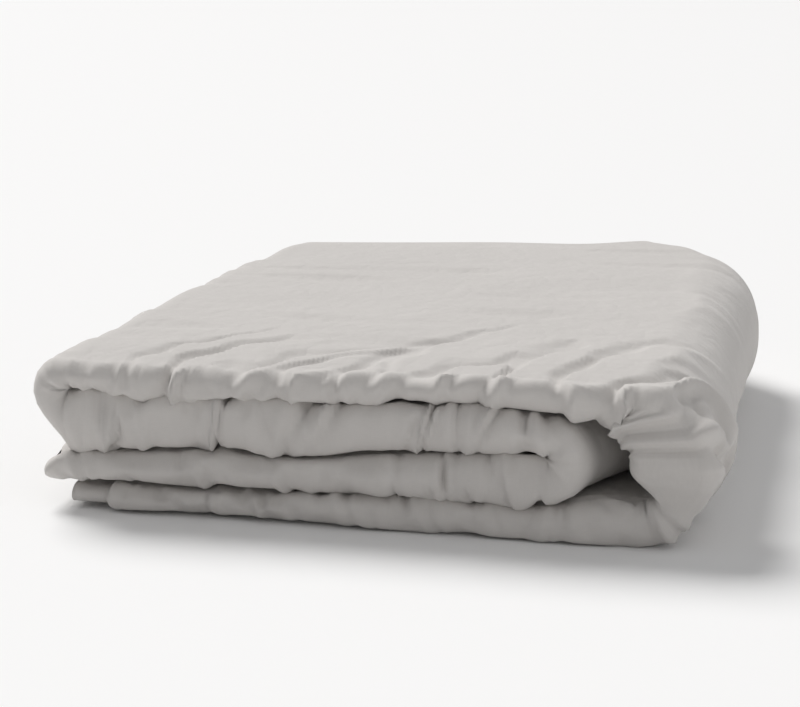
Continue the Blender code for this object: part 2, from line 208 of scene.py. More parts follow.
def settle(x, y, z):
    """The even stack's points, moved to where a soft stack holds them."""
    across = np.clip(x / WIDTH + 0.5, 0, 1)
    back = np.clip(y / DEPTH + 0.5, 0, 1)
    (left_front, left_back), (right_front, right_back) = TOP_AT_CORNERS
    top = (left_front * (1 - across) + right_front * across) * (1 - back)
    top = top + (left_back * (1 - across) + right_back * across) * back
    front_drop = FRONT_DROP * ease(1 - (y - LOW[1]) / CROWN_REACH) ** 1.4
    back_drop = BACK_DROP * ease(1 - (HIGH[1] - y) / CROWN_REACH) ** 1.4
    top = top * (1 - front_drop - back_drop)
    front = near_front(y) * ease((OUTER_X + 0.035 - x) / 0.09)
    dip = ease((x - 0.11) / 0.10)
    levels = [
        level + slope * x + LEVEL_WAVE * waves((x,), 0.16, seed=step) * (step > 0) - sag * dip
        for step, (level, slope, sag) in enumerate(zip(FRONT_LEVELS, FRONT_SLOPES, FRONT_SAGS))
    ]
    levels.append(top)
    risen = 0.0
    for step in range(4):
        share = np.clip(z / HEIGHT * 4 - step, 0, 1)
        even = top / 4
        risen = risen + share * (even + front * (levels[step + 1] - levels[step] - even))
    corner = ease(1 - (HIGH[1] - y) / CORNER_REACH) ** 1.5
    x = x - CORNER_PULL * corner * ease(x / HIGH[0])
    x = x + FRONT_CORNER_PULL * ease(1 - (y - LOW[1]) / 0.09) ** 1.3 * ease(-x / HIGH[0])
    tuck = near_front(y) * ease((LEFT_X + 0.02 - x) / 0.05)
    x = x + LEFT_FOLD_TUCK * tuck * np.exp(-(((z / HEIGHT - 0.54) / 0.11) ** 2))
    return x, y, risen


# %% [markdown]
# ## The cover as a grid
#
# A panel of the cover is a grid of flat points. Near a seam the panel curves down to the middle
# of the duvet, as the side of a pillow does: its half thickness follows an ellipse over the last
# few millimetres.

# %% Flat to folded
SIDE_REACH, END_REACH = 17 * MM, 9 * MM


def half_thickness(u, v, full=HALF):
    """Half the duvet's thickness at a flat point: full inside, an ellipse down to the seams."""
    end = np.clip(np.minimum(u + HALF, U_HEAD + HALF - u) / END_REACH, 0, 1)
    side = np.clip((V_SIDE + HALF - np.abs(v)) / SIDE_REACH, 0, 1)
    return full * np.sqrt(1 - (1 - end) ** 2) * np.sqrt(1 - (1 - side) ** 2)


def fold(u, v, w):
    """A flat point (u, v, w) in its place in the settled stack, as an array of x, y, z."""
    y, rise = fold_in_half(v, w)
    x, z = fold_in_stack(u, rise)
    bend = (u - U_OUTER) / OUTER_RADIUS
    upper = ease((bend - 0.5) / 1.0) * ease((math.pi + 0.3 - bend) / 0.9)
    x = x - OUTER_FOLD_FULLNESS * upper * near_front(y) * ease((rise + 2 * MM) / (8 * MM))
    tucked = ease((u - U_SECOND) / 0.01)
    pull = ease((x - 0.02) / 0.17) * tucked * near_front(y)
    return np.stack(settle(x - INNER_FOLD_PULL * pull, y, z), axis=-1)


# %% [markdown]
# ## Where the cloth puckers
#
# Cloth that is folded has more length on the inside of each turn than it has room for, so it
# gathers there. On the front of every layer that shows as short valleys with a round ridge beside
# them. They start in the gap below the layer and rise slanting onto it. Each is a curved line on
# the flat cloth, and the cloth's depth off that line is one profile, so the valleys turn with the
# fold for free. The folds' ends gather tightest, and the broad top has only a few long ones.

# %% Creases
CREASE_SETS = (
    # from u, to u, spacing, start v, shortest, longest, slant, depth, width
    (U_TOP - 30 * MM, U_LEFT - 20 * MM, 42 * MM, 13, 100, 230, -125, 12.0, 7.0),
    (U_LEFT - 22 * MM, U_SECOND + 18 * MM, 8.5 * MM, 14, 26, 62, 3, 3.0, 2.9),
    (U_OUTER + 25 * MM, U_TOP - 12 * MM, 17 * MM, 12, 30, 70, -12, 6.0, 4.0),
    (U_SECOND + 30 * MM, U_INNER - 20 * MM, 46 * MM, 15, 24, 40, -34, 4.6, 4.5),
    (U_INNER - 25 * MM, U_TUCKED + 15 * MM, 9 * MM, 15, 24, 44, 4, 3.4, 3.2),
    (U_TUCKED + 30 * MM, U_HEAD - 10 * MM, 50 * MM, 14, 18, 34, 10, 2.6, 4.0),
    (20 * MM, U_OUTER + 20 * MM, 42 * MM, 14, 20, 34, 7, 3.6, 4.0),
    (95 * MM, 165 * MM, 13 * MM, 14, 22, 34, 5, 2.6, 3.8),
    (U_TOP - 20 * MM, U_LEFT, 21 * MM, 13, 25, 75, -30, 2.0, 3.2),
    (U_SECOND, U_INNER, 19 * MM, 14, 16, 34, -12, 1.5, 2.4),
    (U_TUCKED, U_HEAD, 21 * MM, 13, 14, 30, 6, 1.3, 2.2),
    (0.0, U_OUTER + 30 * MM, 15 * MM, 13, 14, 32, 5, 1.5, 2.2),
)
DEEPEST = 5.3 * MM
WANDER, WANDER_LENGTH = 4.5 * MM, 55 * MM  # how far a crease strays from its line
SWELL, STREAK = 1.1 * MM, 1.5 * MM  # heights of the filling's swells and the top's long creases


def crease_lines():
    """One row per crease: start u, start v, length, slant, depth and width."""
    rows = []
    for first, last, spacing, start, shortest, longest, slant, depth, width in CREASE_SETS:
        count = max(1, round((last - first) / spacing))
        u = first + (np.arange(count) + rng.uniform(0.15, 0.85, count)) * (last - first) / count
        rows.append(
            np.stack(
                [
                    u,
                    start * MM + rng.uniform(-3, 3, count) * MM,
                    rng.uniform(shortest, longest, count) * MM,
                    slant * MM * rng.uniform(0.35, 1.25, count),
                    depth * MM * rng.uniform(0.45, 1.15, count),
                    width * MM * rng.uniform(0.7, 1.3, count),
                ],
                axis=1,
            )
        )
    return np.concatenate(rows)


def crease_depth(u, v, lines):
    """Sum of valleys: a sharp dip on the line and a low round ridge beside it.

    A crease starts shallow, is deepest a third of the way along and dies out at its far end.
    """
    total = np.zeros(np.broadcast(u, v).shape)
    for start_u, start_v, length, slant, depth, width in lines:
        along = (start_v - v) / length
        near = (np.abs(u - start_u) < abs(slant) + 6 * width) & (along > -0.1) & (along < 1.0)
        if not near.any():
            continue
        t = np.clip(along[near], 0, 1)
        off = (u[near] - start_u - slant * t**1.5) / (width * (1 + 1.5 * t))
        valley = np.exp(-2.3 * (np.sqrt(off**2 + 0.09) - 0.3))
        ridge = 0.85 * np.exp(-((off - 1.7 * np.sign(slant)) ** 2) / 0.9)
        strength = ease(1 + 10 * np.minimum(along[near], 0)) * (1 - t) ** 0.8
        strength = strength * (0.3 + 1.3 * ease(t / 0.35))
        total[near] += depth * strength * (ridge - valley)
    return total


def unevenness(u, v):
    """Slow swells of the filling, and long low creases that lie across the top layer."""
    swell = SWELL * waves((u, v), 0.17, seed=3)
    streak = waves((u / 3.2, v), 0.062, seed=8) * ease(0.5 + 0.9 * waves((u, v), 0.24, seed=9))
    on_top = ease((-v - 0.03) / 0.08) * ease((v + V_SIDE) / 0.05)
    return swell * ease((-v + 0.05) / 0.06) + STREAK * streak * on_top


CREASES = crease_lines()


def face_w(u, v, creased=1.0):
    """How far the face panel stands off the duvet's middle surface."""
    full = half_thickness(u, v)
    free = np.clip(full / HALF, 0, 1) ** 2
    wander_u = WANDER * waves((u, v), WANDER_LENGTH, seed=31)
    wander_v = WANDER * waves((u, v), WANDER_LENGTH, seed=32)
    depth = creased * crease_depth(u + wander_u, v + wander_v, CREASES) + unevenness(u, v)
    return full + free * np.where(depth < 0, DEEPEST * np.tanh(depth / DEEPEST), depth)


print(f"{len(CREASES)} creases")

# %% [markdown]
# ## Letting the cloth settle
#
# The drawn creases are only where the cloth wants to fold. A cloth simulation makes the cover do
# it: the panel gets a little more length than it has room for, the filling presses it outwards,
# and it is held where the layers lie on each other. Twenty steps are enough for it to buckle into
# soft bulges and sharp valleys. The result is kept as a movement of each flat point, capped so
# that no layer leaves its own space and no valley reaches the insert, and it is later read off
# at any finer spacing.

# %% Cloth simulation of the face panel
SIM_STEPS = 20
SIM_CAP, SIM_INWARD = 7 * MM, 0.8 * MM
SLACK = -0.045
PRESSURE = 1.5


def lines(*stops):
    """Grid lines through stops given as (place, spacing up to the next stop)."""
    made = []
    for (start, spacing), (end, _) in zip(stops, stops[1:]):
        steps = max(1, round((end - start) / spacing))
        made.extend(np.linspace(start, end, steps, endpoint=False))
    return np.array(made + [stops[-1][0]])


def grid_faces(rows, columns):
    corner = (np.arange(rows - 1)[:, None] * columns + np.arange(columns - 1)).ravel()
    return np.stack([corner, corner + columns, corner + columns + 1, corner + 1], axis=1)


def new_mesh(name, points, faces, flat=None):
    """A mesh object from arrays of points and four-sided faces, with flat places as its UV map."""
    mesh = bpy.data.meshes.new(name)
    mesh.vertices.add(len(points))
    mesh.vertices.foreach_set("co", np.ascontiguousarray(points, np.float32).ravel())
    mesh.loops.add(faces.size)
    mesh.loops.foreach_set("vertex_index", faces.astype(np.int32).ravel())
    mesh.polygons.add(len(faces))
    mesh.polygons.foreach_set("loop_start", np.arange(0, faces.size, 4, dtype=np.int32))
    mesh.update(calc_edges=True)
    mesh.polygons.foreach_set("use_smooth", np.ones(len(faces), bool))
    if flat is not None:
        places = mesh.uv_layers.new(name="flat")
        places.data.foreach_set("uv", flat[faces.ravel()].astype(np.float32).ravel())
    obj = bpy.data.objects.new(name, mesh)
    bpy.context.scene.collection.objects.link(obj)
    return obj


def held(u, v):
    """1 where layers lie on each other or at a seam, less where the cloth is free to move."""
    front = ease((0.045 - np.abs(v + 0.006)) / 0.02)
    on_top = ease((u - U_OUTER) / 0.03) * ease((U_SECOND - u) / 0.02) * (v < 0)
    near_edge = ease((-v - 0.09) / 0.16)
    top_free = on_top * (1 - 0.35 * near_edge)
    free = np.maximum(front, top_free)
    seam = ease(half_thickness(u, v) / HALF * 1.6 - 0.6)
    return 1 - 0.93 * free * seam


def set_group(obj, name, weights):
    group = obj.vertex_groups.new(name=name)
    levels = np.round(np.clip(weights, 0, 1) * 20).astype(int)
    for level in np.unique(levels):
        group.add(np.nonzero(levels == level)[0].tolist(), level / 20, "REPLACE")


def drape(obj, hold, slack):
    """Runs the cloth simulation on a copy of the panel and gives back its settled points."""
    set_group(obj, "hold", hold)
    set_group(obj, "tight", 1 - slack)
    cloth = obj.modifiers.new("cloth", "CLOTH")
    settings = cloth.settings
    settings.quality = 5
    settings.mass = 0.25
    settings.tension_stiffness = 12
    settings.compression_stiffness = 12
    settings.shear_stiffness = 4
    settings.bending_stiffness = 0.12
    settings.vertex_group_mass = "hold"
    settings.pin_stiffness = 0.6
    settings.vertex_group_shrink = "tight"
    settings.shrink_min = SLACK
    settings.shrink_max = 0.0
    settings.use_pressure = True
    settings.uniform_pressure_force = PRESSURE
    settings.effector_weights.gravity = 0
    cloth.collision_settings.use_collision = False
    for step in range(1, SIM_STEPS + 1):
        bpy.context.scene.frame_set(step)
    done = obj.evaluated_get(bpy.context.evaluated_depsgraph_get())
    settled = np.empty(3 * len(done.data.vertices), np.float32)
    done.data.vertices.foreach_get("co", settled)
    bpy.context.scene.frame_set(1)
    bpy.data.objects.remove(obj)
    return settled.reshape(-1, 3).astype(float)


coarse_u = lines((-HALF, 8 * MM), (U_HEAD + HALF, 1))
coarse_v = lines((-V_SIDE - HALF, 9 * MM), (-60 * MM, 5 * MM), (40 * MM, 40 * MM), (V_SIDE + HALF, 1))
U, V = np.meshgrid(coarse_u, coarse_v, indexing="ij")
start = fold(U, V, face_w(U, V, creased=0.6))
moved = np.zeros_like(start)
panel = new_mesh("panel", start.reshape(-1, 3), grid_faces(*U.shape)[:, ::-1])
slack = ease((0.10 - np.abs(V)) / 0.08) * (1 - held(U, V)) + 0.02
settled = drape(panel, held(U, V).ravel(), slack.ravel()).reshape(start.shape)
moved = settled - start
far = np.linalg.norm(moved, axis=-1, keepdims=True)
moved *= np.tanh(far / SIM_CAP) * SIM_CAP / np.maximum(far, 1e-9)
moved *= (1 - ease(held(U, V) * 2.2 - 1.2))[..., None]
middle = fold(U, V, np.zeros_like(U))
outward = start - middle
outward /= np.maximum(np.linalg.norm(outward, axis=-1, keepdims=True), 1e-9)
rise = (moved * outward).sum(axis=-1, keepdims=True)
moved += outward * np.maximum(-SIM_INWARD - rise, 0)
print(f"cloth moved up to {far.max() * 1000:.1f} mm, kept {np.abs(moved).max() * 1000:.1f} mm")


def read_off(field, u, v):
    """The movement at finer grid lines, by a smooth curve through each four neighbours."""

    def weights(fine, coarse):
        place = np.clip(np.interp(fine, coarse, np.arange(len(coarse))), 1, len(coarse) - 2.001)
        cell = place.astype(int)
        t = (place - cell)[:, None]
        curve = np.hstack(
            [
                (-t + 2 * t**2 - t**3) / 2,
                (2 - 5 * t**2 + 3 * t**3) / 2,
                (t + 4 * t**2 - 3 * t**3) / 2,
                (t**3 - t**2) / 2,
            ]
        )
        table = np.zeros((len(fine), len(coarse)))
        for shift in range(4):
            table[np.arange(len(fine)), cell + shift - 1] += curve[:, shift]
        return table

    return np.einsum("ia,jb,abk->ijk", weights(u, coarse_u), weights(v, coarse_v), field, optimize=True)


# %% [markdown]
# ## The cover's pieces
#
# The face panel is the outside of the folded strip and the reverse panel its inside, and the two meet
# along the seams. Each is cut into the same three stretches as the CAD cover. Neighbouring stretches share
# their last line of points and their shading, so no cut shows. Lines are close where the cloth shows and
# far apart inside.

# %% Face and reverse panels
EDGE = 16 * MM
V_OPEN = ((-V_SIDE - HALF, 2 * MM), (-V_SIDE - HALF + EDGE, 3.2 * MM), (-52 * MM, 2.2 * MM))
V_SHUT = ((-V_SIDE - HALF, 2 * MM), (-V_SIDE - HALF + EDGE, 28 * MM), (-52 * MM, 2.2 * MM))
V_INSIDE = ((34 * MM, 34 * MM), (V_SIDE + HALF - EDGE, 2 * MM), (V_SIDE + HALF, 1))
STRETCHES = {
    "bottom": ((-HALF, 2 * MM), (-HALF + EDGE, 3.2 * MM), (U_OUTER, 1)),
    "top": ((U_OUTER, 3 * MM), (U_SECOND, 1)),
    "tucked": ((U_SECOND, 3.2 * MM), (U_HEAD + HALF - EDGE, 2 * MM), (U_HEAD + HALF, 1)),
}


def above_floor(points, gap=0.0):
    """The points, with any lower than the gap pressed flat over the floor."""
    points[..., 2] = np.maximum(points[..., 2], gap)
    return points


def face_points(u_lines, v_lines):
    u, v = np.meshgrid(u_lines, v_lines, indexing="ij")
    return above_floor(fold(u, v, face_w(u, v)) + read_off(moved, u_lines, v_lines))


def reverse_points(u_lines, v_lines):
    u, v = np.meshgrid(u_lines, v_lines, indexing="ij")
    return fold(u, v, -half_thickness(u, v))


def beyond(grid_lines, first, last):
    """The lines with one more at either end, except where the cloth itself ends."""
    before = [grid_lines[0] - (grid_lines[1] - grid_lines[0])] if first else []
    after = [grid_lines[-1] + (grid_lines[-1] - grid_lines[-2])] if last else []
    return np.concatenate([before, grid_lines, after])


def panel_piece(name, surface, stretch, v_lines, outward):
    """One stretch of a panel, with its shading taken from the cloth on both sides of its cuts."""
    u_lines = lines(*STRETCHES[stretch])
    wide = beyond(u_lines, stretch != "bottom", stretch != "tucked")
    points = surface(wide, v_lines)
    across, along = np.gradient(points, axis=1), np.gradient(points, axis=0)
    shading = outward * np.cross(across, along)
    shading /= np.maximum(np.linalg.norm(shading, axis=-1, keepdims=True), 1e-12)
    inner = slice(int(stretch != "bottom"), len(wide) - int(stretch != "tucked"))
    points, shading = points[inner].reshape(-1, 3), shading[inner].reshape(-1, 3)
    faces = grid_faces(len(u_lines), len(v_lines))
    u, v = np.meshgrid(u_lines, v_lines, indexing="ij")
    piece = new_mesh(
        name, points, faces[:, ::-1] if outward > 0 else faces, np.stack([u.ravel(), v.ravel()], 1)
    )
    piece.data.normals_split_custom_set_from_vertices(shading.tolist())
    return piece


fine_v, shut_v = lines(*V_OPEN, *V_INSIDE), lines(*V_SHUT, *V_INSIDE)
pieces = {}
for stretch in STRETCHES:
    shown = fine_v if stretch == "top" else shut_v
    pieces["cover_face", stretch] = panel_piece(
        f"face_cloth_{stretch}", face_points, stretch, shown, 1
    )
    pieces["cover_reverse", stretch] = panel_piece(
        f"reverse_cloth_{stretch}", reverse_points, stretch, shut_v, -1
    )
    print(stretch, len(pieces["cover_face", stretch].data.polygons), "faces of cloth")


# %% [markdown]
# ## Inside the cover: casing, filling and piping
#
# The duvet itself is a white casing filled with fibre, a little smaller than its cover. Its panels
# are thin closed shells and the filling is a full closed form between them. They follow the same
# creases as the cover and stay under it, down to the bottom of every valley. A thin piping closes
# the casing's seam all the way round.

# %% The insert
INSERT_MARGIN = 16 * MM
CASING_CLOTH = 0.3 * MM
PIPING_RADIUS = 1.5 * MM
INSERT_V = V_SIDE + HALF - INSERT_MARGIN
INSERT_ENDS = (-HALF + INSERT_MARGIN, U_HEAD + HALF - INSERT_MARGIN)


def insert_half(u, v, full):
    """Half thickness of the insert, rounded down to its own seam."""
    end = np.clip(np.minimum(u - INSERT_ENDS[0], INSERT_ENDS[1] - u) / END_REACH, 0, 1)
    side = np.clip((INSERT_V - np.abs(v)) / SIDE_REACH, 0, 1)
    return full * np.sqrt(1 - (1 - end) ** 2) * np.sqrt(1 - (1 - side) ** 2)


SLIM_SHARE, SLIM_TO, SLIM_REACH = 0.03, 160 * MM, 50 * MM


def under_face(u, v, full, clear):
    """The insert's upper surface: its own roundness, but under the lowest cover close by.

    Near the front fold it is slim, so that no crease of the cover reaches it.
    """
    nearby = [(du, dv) for du in (-5, 0, 5) for dv in (-20, -7, 0, 7, 20)]
    lowest = np.min([face_w(u + du * MM, v + dv * MM) for du, dv in nearby], axis=0)
    full = full * (SLIM_SHARE + (1 - SLIM_SHARE) * ease((np.abs(v) - SLIM_TO) / SLIM_REACH))
    return np.minimum(insert_half(u, v, full), np.maximum(lowest - clear, 0.05 * MM))


CASING_GAP, FILLING_GAP, LEAST_WALL = 0.6 * MM, 1.4 * MM, 0.5 * MM  # heights kept over the floor


def closed_piece(name, u_lines, v_lines, high, low, gap=CASING_GAP):
    """A closed form between two heights above the middle surface, each a formula of u and v."""
    u, v = np.meshgrid(u_lines, v_lines, indexing="ij")
    upper = above_floor(fold(u, v, high(u, v)), gap)
    lower = above_floor(fold(u, v, low(u, v)), gap + LEAST_WALL)
    rows, columns = u.shape
    faces = grid_faces(rows, columns)
    number = np.arange(rows * columns).reshape(rows, columns)
    rim = np.concatenate([number[:-1, 0], number[-1, :-1], number[:0:-1, -1], number[0, :0:-1]])
    ahead = np.roll(rim, -1)
    walls = np.stack([rim, ahead, ahead + u.size, rim + u.size], axis=1)
    faces = np.concatenate([faces[:, ::-1], faces + u.size, walls[:, ::-1]])
    flat = np.stack([np.tile(u.ravel(), 2), np.tile(v.ravel(), 2)], axis=1)
    points = np.concatenate([upper.reshape(-1, 3), lower.reshape(-1, 3)])
    return new_mesh(name, points, faces[:, ::-1], flat)


INSERT_SPANS = {
    "bottom": ((INSERT_ENDS[0], 2 * MM), (EDGE, 5 * MM), (U_OUTER, 1)),
    "top": ((U_OUTER, 5 * MM), (U_SECOND, 1)),
    "tucked": ((U_SECOND, 5 * MM), (INSERT_ENDS[1] - EDGE, 2 * MM), (INSERT_ENDS[1], 1)),
}
INSERT_LINES = (
    (-INSERT_V, 3 * MM),
    (-INSERT_V + EDGE, 20 * MM),
    (-180 * MM, 10 * MM),
    (-50 * MM, 4 * MM),
    (40 * MM, 30 * MM),
    (INSERT_V - EDGE, 3 * MM),
    (INSERT_V, 1),
)
insert_v = lines(*INSERT_LINES)
CASING_FULL, FILL_FULL = 0.52 * HALF, 0.36 * HALF
for stretch, span in INSERT_SPANS.items():
    insert_u = lines(*span)
    pieces["casing_face", stretch] = closed_piece(
        f"casing_face_cloth_{stretch}",
        insert_u,
        insert_v,
        lambda u, v: under_face(u, v, CASING_FULL, 2.0 * MM) + CASING_CLOTH,
        lambda u, v: under_face(u, v, CASING_FULL, 2.0 * MM),
    )
    pieces["casing_reverse", stretch] = closed_piece(
        f"casing_reverse_cloth_{stretch}",
        insert_u,
        insert_v,
        lambda u, v: -insert_half(u, v, CASING_FULL) - 0.3 * MM,
        lambda u, v: -insert_half(u, v, CASING_FULL) - 0.3 * MM - CASING_CLOTH,
    )
    pieces["batting", stretch] = closed_piece(
        f"filling_{stretch}",
        insert_u,
        insert_v,
        lambda u, v: under_face(u, v, FILL_FULL, 2.6 * MM) - 0.1 * MM,
        lambda u, v: -insert_half(u, v, FILL_FULL) - 0.1 * MM,
        gap=FILLING_GAP,
    )


def tube(name, route, radius):
    """A tube through the flat points of a route, laid in the stack."""
    curve = bpy.data.curves.new(name, "CURVE")
    curve.dimensions = "3D"
    curve.bevel_depth = radius
    curve.bevel_resolution = 2
    curve.use_fill_caps = True
    spline = curve.splines.new("POLY")
    spline.points.add(len(route) - 1)
    places = fold(*(np.array(part) for part in zip(*route)))
    spline.points.foreach_set("co", np.insert(places, 3, 1.0, axis=1).ravel())
    holder = bpy.data.objects.new(name, curve)
    bpy.context.scene.collection.objects.link(holder)
    mesh = bpy.data.meshes.new_from_object(holder)
    bpy.data.objects.remove(holder)
    obj = bpy.data.objects.new(name, mesh)
    bpy.context.scene.collection.objects.link(obj)
    return obj


side = INSERT_V + PIPING_RADIUS
piping_ends = (INSERT_ENDS[0] - PIPING_RADIUS, INSERT_ENDS[1] + PIPING_RADIUS)
across = lines((-side, 25 * MM), (-40 * MM, 5 * MM), (40 * MM, 25 * MM), (side, 1))
low_u = lines((piping_ends[0], 20 * MM), (U_OUTER, 1))
top_u = lines((U_OUTER, 6 * MM), (U_SECOND, 1))
high_u = lines((U_SECOND, 20 * MM), (U_INNER, 5 * MM), (U_TUCKED, 20 * MM), (piping_ends[1], 1))
foot_end = [(low_u[0], v, 0) for v in across]
head_end = [(high_u[-1], v, 0) for v in across]
piping_routes = {
    "bottom": [(u, -side, 0) for u in low_u[:0:-1]] + foot_end + [(u, side, 0) for u in low_u[1:]],
    "top_outer": [(u, -side, 0) for u in top_u],
    "top_inner": [(u, side, 0) for u in top_u],
    "tucked": [(u, -side, 0) for u in high_u[:-1]] + head_end + [(u, side, 0) for u in high_u[-2::-1]],
}
for stretch, route in piping_routes.items():
    pieces["insert_piping", stretch] = tube(f"piping_cord_{stretch}", route, PIPING_RADIUS)
print(len(pieces), "soft pieces so far")

# %% [markdown]
# ## The foot hem and its stitching
#
# The foot end of the cover is its opening: two turned hems, one on each panel, buttoned to each
# other. A hem is three turns of cloth pressed flat, held by a row of small machine stitches. Each
# hem is a closed strip beyond the foot seam and waves a little. The stitches are tiny rounded
# bars of thread that stand just proud of it.

# %% Hems
HEM_DEPTH, HEM_CLOTH = 30 * MM, 1.2 * MM
HEM_START = -HALF - 0.3 * MM
STITCH, STITCH_STEP, STITCH_THREAD = 2.4 * MM, 3.4 * MM, 0.28 * MM
hem_u = lines((HEM_START - HEM_DEPTH, 3 * MM), (HEM_START, 1))
hem_v = lines((-V_SIDE - HALF, 12 * MM), (-50 * MM, 2.2 * MM), (34 * MM, 12 * MM), (V_SIDE + HALF, 1))


def hem_wave(u, v):
    loose = ease((HEM_START - u) / HEM_DEPTH)
    return 0.9 * MM * loose * waves((v,), 0.035, seed=21) * ease((0.07 - np.abs(v)) / 0.03)


HEM_GAP = 0.15 * MM
pieces["foot_hem_face", ""] = closed_piece(
    "hem_cloth_face",
    hem_u,
    hem_v,
    lambda u, v: HEM_GAP + HEM_CLOTH + np.maximum(hem_wave(u, v), 0),
    lambda u, v: HEM_GAP + np.maximum(hem_wave(u, v), 0),
)
pieces["foot_hem_reverse", ""] = closed_piece(
    "hem_cloth_reverse",
    hem_u,
    hem_v,
    lambda u, v: -HEM_GAP - np.maximum(-hem_wave(u, v), 0),
    lambda u, v: -HEM_GAP - HEM_CLOTH - np.maximum(-hem_wave(u, v), 0),
)


def stitch_row(name, u, height):
    """Rounded bars of thread along v, half sunk in the hem."""
    middles = np.arange(-V_SIDE + 4 * MM, V_SIDE - 4 * MM, STITCH_STEP)
    sides = np.arange(6) * math.pi / 3
    profile = ((-0.5, 0.35), (-0.3, 1.0), (0.3, 1.0), (0.5, 0.35))
    points, faces = [], []
    for number, middle in enumerate(middles):
        for share, width in profile:
            v = np.full(6, middle + share * STITCH)
            off = STITCH_THREAD * width
            surface = height(np.full(6, u), v) + off * np.sin(sides)
            points.append(fold(u + off * np.cos(sides), v, surface))
        for ring in range(3):
            base = number * 24 + ring * 6
            around = base + np.arange(6)
            ahead = base + (np.arange(6) + 1) % 6
            faces.append(np.stack([around, ahead, ahead + 6, around + 6], axis=1))
        for base, turn in ((number * 24, 1), (number * 24 + 18, -1)):
            caps = np.array([[base, base + 3, base + 2, base + 1], [base, base + 5, base + 4, base + 3]])
            faces.append(caps[:, ::turn])
    return new_mesh(name, np.concatenate(points), np.concatenate(faces))


stitches = stitch_row(
    "hem_stitching", HEM_START - 2.5 * MM, lambda u, v: HEM_GAP + HEM_CLOTH + np.maximum(hem_wave(u, v), 0)
)
print(f"{len(stitches.data.polygons)} faces of stitching")


# %% [markdown]
# ## Materials
#
# Everything is made of threads, so every finish is a pattern on the flat cloth: a weave at its
# true thread spacing, threads that are a little thicker or darker here and there, and the fine
# crumple that cotton keeps after washing. The patterns read the flat places kept in each cloth's
# map, in metres, so they turn with the folds. Small hard parts read their own coordinates.
# A small class lets the shader maths be written as ordinary sums.

# %% Shader maths
class Value:
    """One socket of a material's node tree, on which Python's arithmetic works."""

    def __init__(self, tree, socket):
        self.tree, self.socket = tree, socket

    def feed(self, target, value):
        if isinstance(value, Value):
            self.tree.links.new(value.socket, target)
        else:
            target.default_value = value

    def node(self, kind, inputs=(), output=0, **settings):
        """Any other node: its settings, then its inputs by name or number."""
        made = self.tree.nodes.new(kind)
        for name, value in settings.items():
            setattr(made, name, value)
        for name, value in dict(inputs).items():
            self.feed(made.inputs[name], value)
        return Value(self.tree, made.outputs[output])

    def maths(self, operation, first, second=0.0):
        return self.node("ShaderNodeMath", {0: first, 1: second}, operation=operation)

    def __add__(self, other):
        return self.maths("ADD", self, other)

    def __sub__(self, other):
        return self.maths("SUBTRACT", self, other)

    def __rsub__(self, other):
        return self.maths("SUBTRACT", other, self)

    def __mul__(self, other):
        return self.maths("MULTIPLY", self, other)

    def __pow__(self, other):
        return self.maths("POWER", self, other)

    __radd__ = __add__
    __rmul__ = __mul__

    def sine(self):
        return self.maths("SINE", self)

    def size(self):
        return self.maths("ABSOLUTE", self)

    def stretched(self, x, y, z=1.0):
        return self.node(
            "ShaderNodeVectorMath", {0: self, 1: (x, y, z)}, operation="MULTIPLY"
        )

    def noise(self, scale, detail=2.0, roughness=0.5):
        """Cloudy noise from -1 to 1 over this place."""
        inputs = {"Vector": self, "Scale": scale, "Detail": detail, "Roughness": roughness}
        return self.node("ShaderNodeTexNoise", inputs) * 2.0 - 1.0

    def parts(self):
        split = self.node("ShaderNodeSeparateXYZ", {0: self})
        return [Value(self.tree, socket) for socket in split.socket.node.outputs]

    def tinted(self, low, high):
        """A colour between two, by this value from 0 to 1."""
        inputs = {0: self, 6: (*low, 1.0), 7: (*high, 1.0)}
        return self.node("ShaderNodeMix", inputs, output=2, data_type="RGBA")


def new_finish(name, roughness, mapped):
    """An empty finish: its material, its shader and the place that its pattern reads."""
    material = bpy.data.materials.new(name)
    material.use_nodes = True
    tree = material.node_tree
    shader = tree.nodes["Principled BSDF"]
    shader.inputs["Roughness"].default_value = roughness
    if mapped:
        source = tree.nodes.new("ShaderNodeUVMap")
        source.uv_map = "flat"
        place = Value(tree, source.outputs["UV"])
    else:
        source = tree.nodes.new("ShaderNodeTexCoord")
        place = Value(tree, source.outputs["Object"])
    return material, shader, place


def dress(shader, place, colour=None, height=None, roughness=None):
    """Feeds a shader: colour, surface height in millimetres, roughness."""
    if colour is not None:
        place.feed(shader.inputs["Base Color"], colour)
    if roughness is not None:
        place.feed(shader.inputs["Roughness"], roughness)
    if height is not None:
        bump = place.node("ShaderNodeBump", {"Height": height, "Distance": 1 * MM})
        place.feed(shader.inputs["Normal"], bump)


# %% Cotton, fibre, tape, plastic, thread and satin
def shade(colour, factor):
    return tuple(min(1.0, part * factor) for part in colour)


